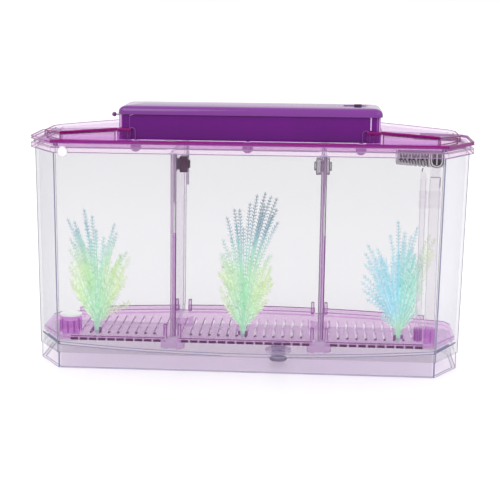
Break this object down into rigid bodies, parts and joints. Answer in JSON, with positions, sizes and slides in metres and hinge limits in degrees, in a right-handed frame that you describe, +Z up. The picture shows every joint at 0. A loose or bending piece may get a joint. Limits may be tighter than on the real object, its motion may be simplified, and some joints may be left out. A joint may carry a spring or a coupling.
{
  "type": "fish breeding box",
  "caption": "Clear box tank with cut corners, slotted tray, lift-out dividers, plastic plants, air-lift filter and a lid that carries a lamp.",
  "frame": {"origin": "on the table, under the middle of the box", "axes": "+Z up, +X along the long front to the viewer's right, +Y to the bowed back"},
  "size_m": [0.2672, 0.1018, 0.1609],
  "materials": {
    "tank_clear": "clear moulded polystyrene",
    "base_lilac": "clear moulded with a lilac cast",
    "grey_clear": "smoky clear",
    "dark_rubber": "soft black",
    "white_plastic": "satin white",
    "tray_purple": "tinted clear",
    "grip_plum": "deep plum",
    "tube_clear": "clear extruded",
    "sleeve_milky": "milky",
    "dark_plastic": "satin dark grey",
    "sponge_black": "open foam",
    "divider_clear": "clear sheet with purple edges",
    "plant_green": "soft pale green turning blue at the tips",
    "lid_purple": "tinted clear",
    "lamp_purple": "deep tinted gloss",
    "cap_purple": "tinted gloss",
    "lens_clear": "clear",
    "board_white": "solder-mask white",
    "led_white": "resin dome",
    "cell_metal": "plain can",
    "screw_steel": "zinc"
  },
  "bodies": {
    "tank": {"tank_shell": "tank_clear", "base_ring": "base_lilac", "drain_bush": "grey_clear", "drain_seal": "dark_rubber", "drain_nut": "grey_clear"},
    "drain_plug": {"drain_plug": "grey_clear", "plug_ring": "dark_rubber"},
    "port_plug": {"port_plug": "white_plastic"},
    "tray": {"bottom_tray": "tray_purple", "airline_lower": "tube_clear", "airline_upper": "tube_clear", "uplift_lower": "tube_clear", "uplift_upper": "tube_clear", "uplift_sleeve": "sleeve_milky", "airline_sleeve": "sleeve_milky"},
    "socket_cap": {"socket_cap": "white_plastic"},
    "outlet": {"outlet_cage": "grey_clear", "filter_sponge": "sponge_black"},
    "divider_left": {"divider_left": "divider_clear", "grip_left": "grip_plum"},
    "divider_right": {"divider_right": "divider_clear", "grip_right": "grip_plum"},
    "plant_left": {"plant_left": "plant_green"},
    "plant_middle": {"plant_middle": "plant_green"},
    "plant_right": {"plant_right": "plant_green"},
    "lid": {"lid": "lid_purple"},
    "lamp": {"lamp_body": "lamp_purple", "lamp_cap": "cap_purple", "lamp_lens": "lens_clear", "led_board": "board_white", "led_1": "led_white", "led_2": "led_white", "led_3": "led_white", "led_4": "led_white", "led_5": "led_white", "led_6": "led_white", "battery_cradle": "dark_plastic", "battery_cell_1": "cell_metal", "battery_cell_2": "cell_metal", "battery_cell_3": "cell_metal", "switch_block": "dark_plastic", "lamp_screw_1": "screw_steel", "lamp_screw_2": "screw_steel", "lamp_screw_3": "screw_steel", "lamp_screw_4": "screw_steel", "end_pin": "screw_steel", "end_bead": "tray_purple"},
    "power_button": {"power_button": "dark_plastic"}
  },
  "joints": [
    {"name": "lid_lift", "type": "slide", "parent": "tank", "child": "lid", "axis": [0, 0, 1], "range_m": [0, 0.25]},
    {"name": "lamp_lift", "type": "slide", "parent": "lid", "child": "lamp", "axis": [0, 0, 1], "range_m": [0, 0.03]},
    {"name": "power_press", "type": "slide", "parent": "lamp", "child": "power_button", "axis": [0, 0, -1], "range_m": [0, 0.0012], "stiffness_N_per_m": 400},
    {"name": "divider_left_lift", "type": "slide", "parent": "tank", "child": "divider_left", "axis": [0, 0, 1], "range_m": [0, 0.115]},
    {"name": "divider_right_lift", "type": "slide", "parent": "tank", "child": "divider_right", "axis": [0, 0, 1], "range_m": [0, 0.115]},
    {"name": "tray_lift", "type": "slide", "parent": "tank", "child": "tray", "axis": [0, 0, 1], "range_m": [0, 0.1]},
    {"name": "outlet_swivel", "type": "hinge", "parent": "tray", "child": "outlet", "pos_m": [0.1102, -0.0335, 0.13], "axis": [0, 0, 1], "range_deg": [-60, 0]},
    {"name": "socket_cap_pull", "type": "slide", "parent": "tray", "child": "socket_cap", "axis": [0, 0, 1], "range_m": [0, 0.0035]},
    {"name": "plant_left_pull", "type": "slide", "parent": "tray", "child": "plant_left", "axis": [0, 0, 1], "range_m": [0, 0.012]},
    {"name": "plant_middle_pull", "type": "slide", "parent": "tray", "child": "plant_middle", "axis": [0, 0, 1], "range_m": [0, 0.012]},
    {"name": "plant_right_pull", "type": "slide", "parent": "tray", "child": "plant_right", "axis": [0, 0, 1], "range_m": [0, 0.012]},
    {"name": "drain_turn", "type": "hinge", "parent": "tank", "child": "drain_plug", "pos_m": [0.0195, -0.0185, 0.005], "axis": [0, 0, 1], "range_deg": [0, 90]},
    {"name": "port_plug_pull", "type": "slide", "parent": "tank", "child": "port_plug", "axis": [0, -1, 0], "range_m": [0, 0.004]}
  ],
  "couplings": [
    {"joint": "divider_left_lift", "follows": "lid_lift", "ratio": 0.45},
    {"joint": "divider_right_lift", "follows": "lid_lift", "ratio": 0.45},
    {"joint": "tray_lift", "follows": "lid_lift", "ratio": 0.4}
  ]
}
